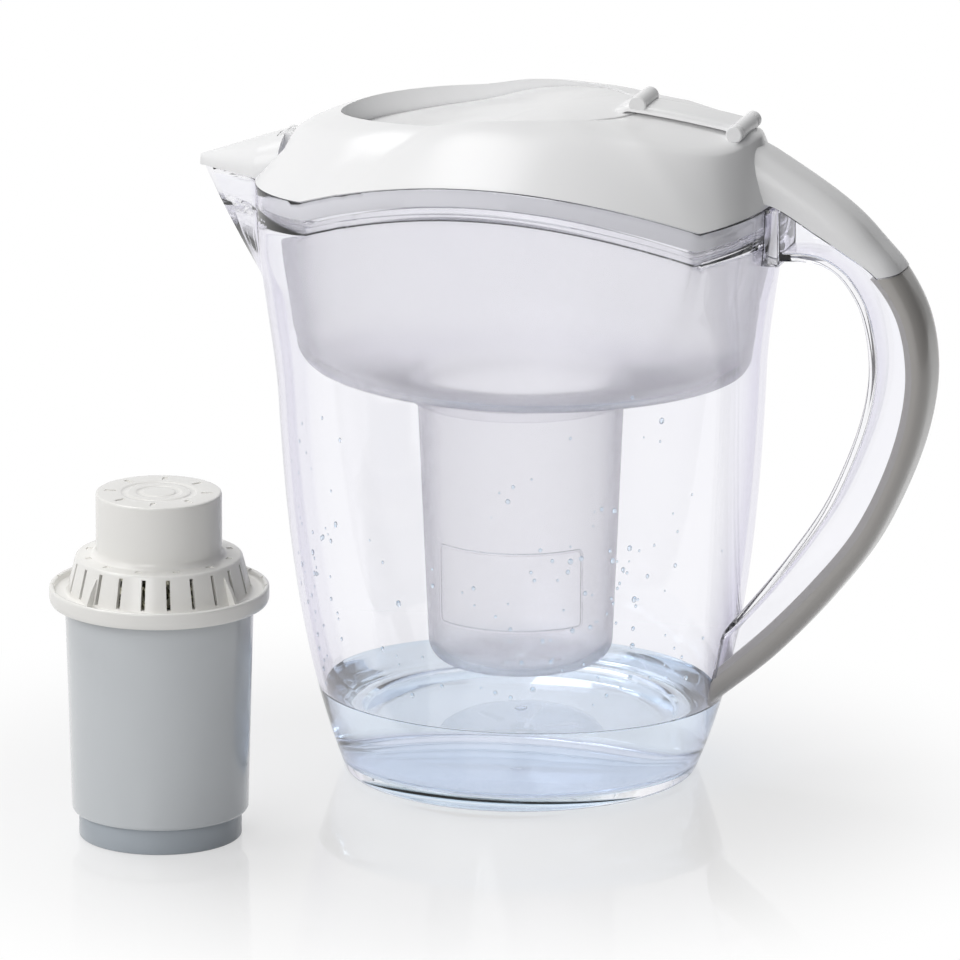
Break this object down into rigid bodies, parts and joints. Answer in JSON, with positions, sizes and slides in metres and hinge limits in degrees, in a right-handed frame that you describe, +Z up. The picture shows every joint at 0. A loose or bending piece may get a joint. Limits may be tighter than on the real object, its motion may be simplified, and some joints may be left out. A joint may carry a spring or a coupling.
{
  "type": "water filter pitcher with flip lid",
  "caption": "Clear oval pitcher with a spout flap, flip lid and bowed handle, a frosted filter hopper hung inside, and its round filter cartridge standing beside it.",
  "frame": {"origin": "centre of the pitcher's round foot, on the table", "axes": "+Z up, +X towards the handle, -X towards the spout, +Y to the back; the cartridge stands at -X, -Y"},
  "size_m": [0.3039, 0.242, 0.2658],
  "materials": {
    "clear_plastic": "clear moulded plastic with a faint violet tint at its edges",
    "grip_plastic": "warm light grey, satin gloss",
    "frosted_plastic": "frosted translucent plastic",
    "white_plastic": "glossy white",
    "pin_steel": "plain round wire",
    "housing_plastic": "blue-grey, fine satin",
    "foot_plastic": "blue-grey, a shade darker",
    "cap_plastic": "warm white, satin",
    "seal_rubber": "pale soft ring",
    "screen_mesh": "pressed white felt",
    "mineral_granules": "greenish grey beads",
    "carbon_granules": "black granules"
  },
  "bodies": {
    "jug_body": {"jug": "clear_plastic", "handle_frame": "clear_plastic", "handle_grip": "grip_plastic"},
    "hopper_body": {"hopper": "frosted_plastic", "filter_sleeve": "frosted_plastic"},
    "lid_body": {"lid": "white_plastic", "lid_tail": "white_plastic", "door_pin": "pin_steel", "flap_pin": "pin_steel"},
    "door_body": {"fill_door": "white_plastic"},
    "flap_body": {"spout_flap": "white_plastic"},
    "cartridge_body": {"cartridge_housing": "housing_plastic", "cartridge_foot": "foot_plastic", "cartridge_cap": "cap_plastic", "cartridge_seal": "seal_rubber", "inlet_screen": "screen_mesh", "mineral_bed": "mineral_granules", "bed_divider": "screen_mesh", "carbon_bed": "carbon_granules", "outlet_screen": "screen_mesh"}
  },
  "joints": [
    {"name": "hopper_lift", "type": "slide", "parent": "jug_body", "child": "hopper_body", "axis": [0, 0, 1], "range_m": [0, 0.205]},
    {"name": "lid_lift", "type": "slide", "parent": "hopper_body", "child": "lid_body", "axis": [0, 0, 1], "range_m": [0, 0.06]},
    {"name": "door_flip", "type": "hinge", "parent": "lid_body", "child": "door_body", "pos_m": [0.087, 0, 0.255], "axis": [0, 1, 0], "range_deg": [0, 95]},
    {"name": "flap_swing", "type": "hinge", "parent": "lid_body", "child": "flap_body", "pos_m": [-0.0914, 0, 0.23775], "axis": [0, 1, 0], "range_deg": [0, 60]},
    {"name": "cartridge_lift", "type": "slide", "parent": "jug_body", "child": "cartridge_body", "axis": [0, 0, 1], "range_m": [0, 0.15]}
  ]
}
